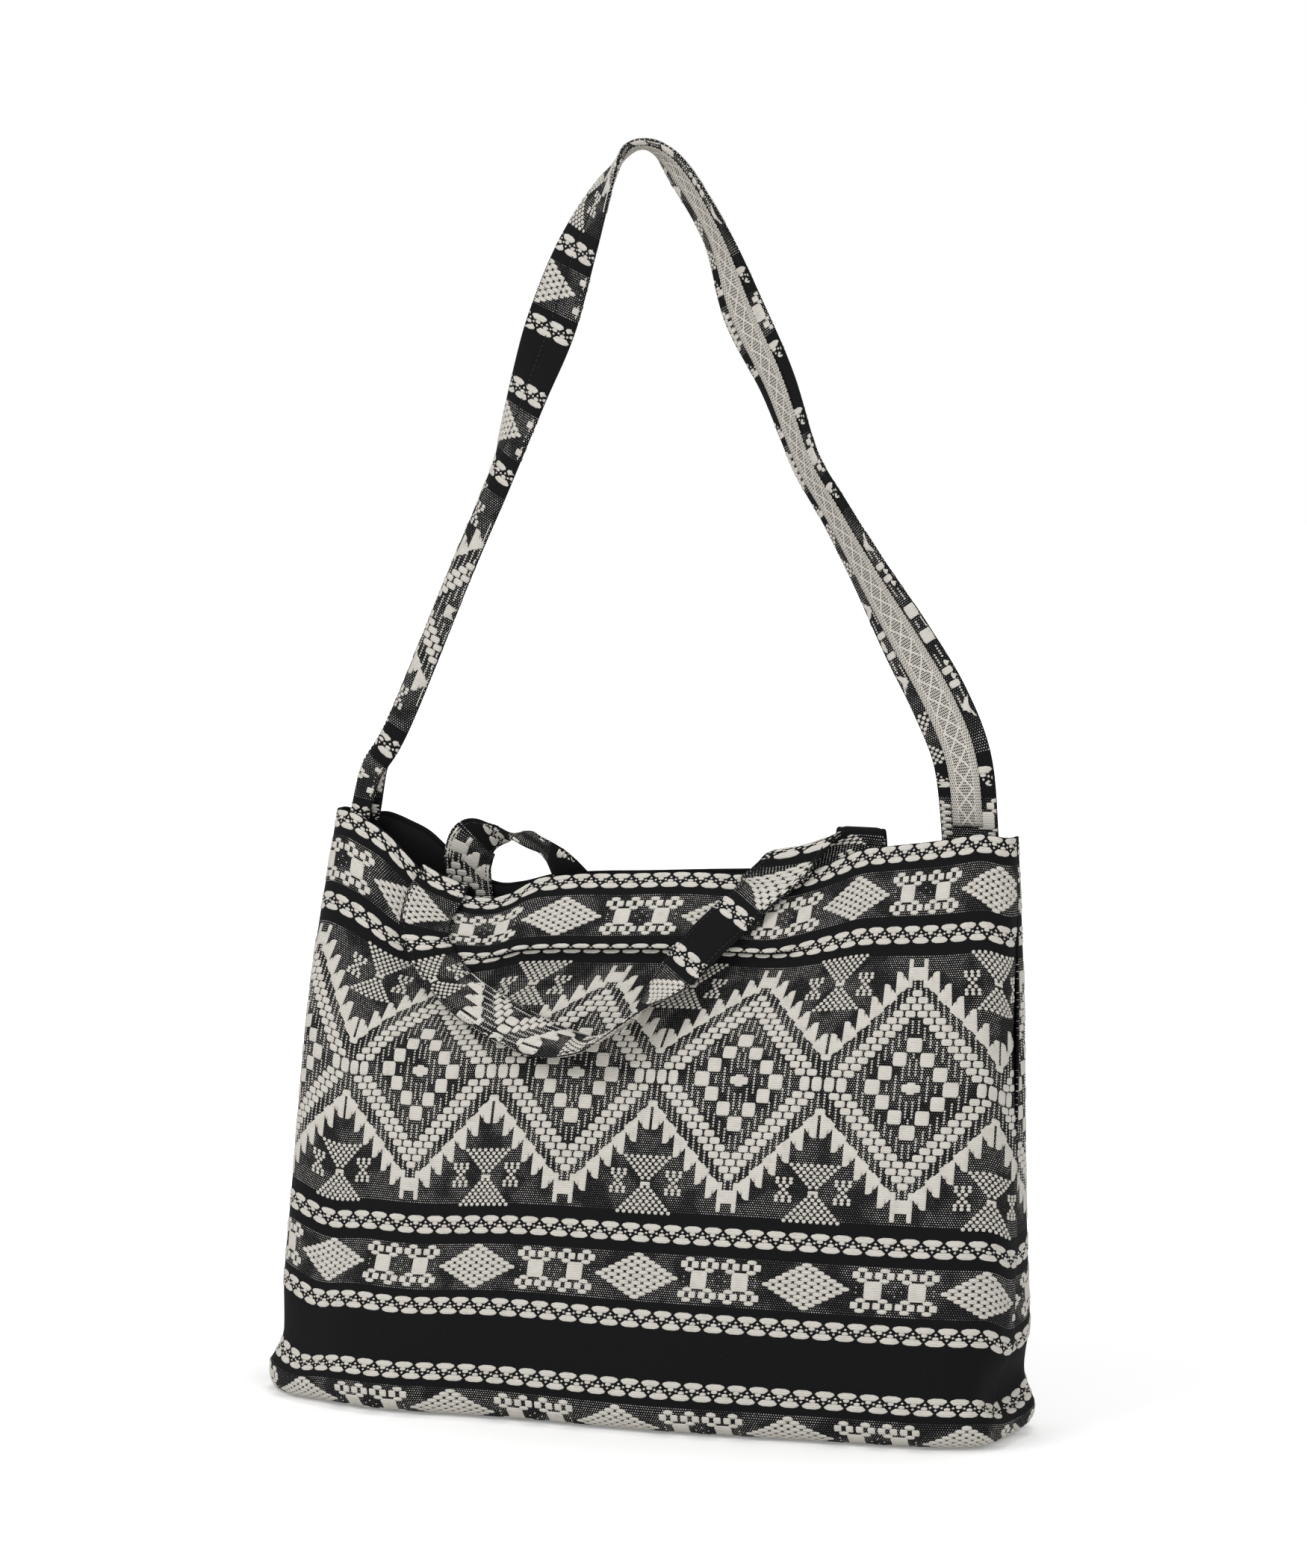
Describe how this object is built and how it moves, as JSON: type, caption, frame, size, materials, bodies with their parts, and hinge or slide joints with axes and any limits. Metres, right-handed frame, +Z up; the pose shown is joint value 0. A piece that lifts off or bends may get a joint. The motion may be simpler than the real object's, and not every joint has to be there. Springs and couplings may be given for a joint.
{
  "type": "shopper bag",
  "caption": "Soft shopper bag of geometric black and cream jacquard with two hand handles and a long shoulder strap.",
  "frame": {"origin": "on the underside, in the middle of the base", "axes": "+X along the bag to the right as its front is seen, -Y out of its front, +Z up"},
  "size_m": [0.4613, 0.1454, 0.7148],
  "materials": {
    "jacquard": "cotton jacquard, cream weft figures on a matt black ground",
    "lining": "plain woven black lining cloth, matt",
    "band_jacquard": "the same jacquard folded and stitched into bands",
    "tape": "fine cream and black patterned woven tape, matt"
  },
  "bodies": {
    "root": {"front_panel": "jacquard", "back_panel": "jacquard", "lining": "lining", "front_handle": "band_jacquard", "back_handle": "band_jacquard", "shoulder_strap": "band_jacquard", "strap_tape": "tape"}
  },
  "joints": []
}
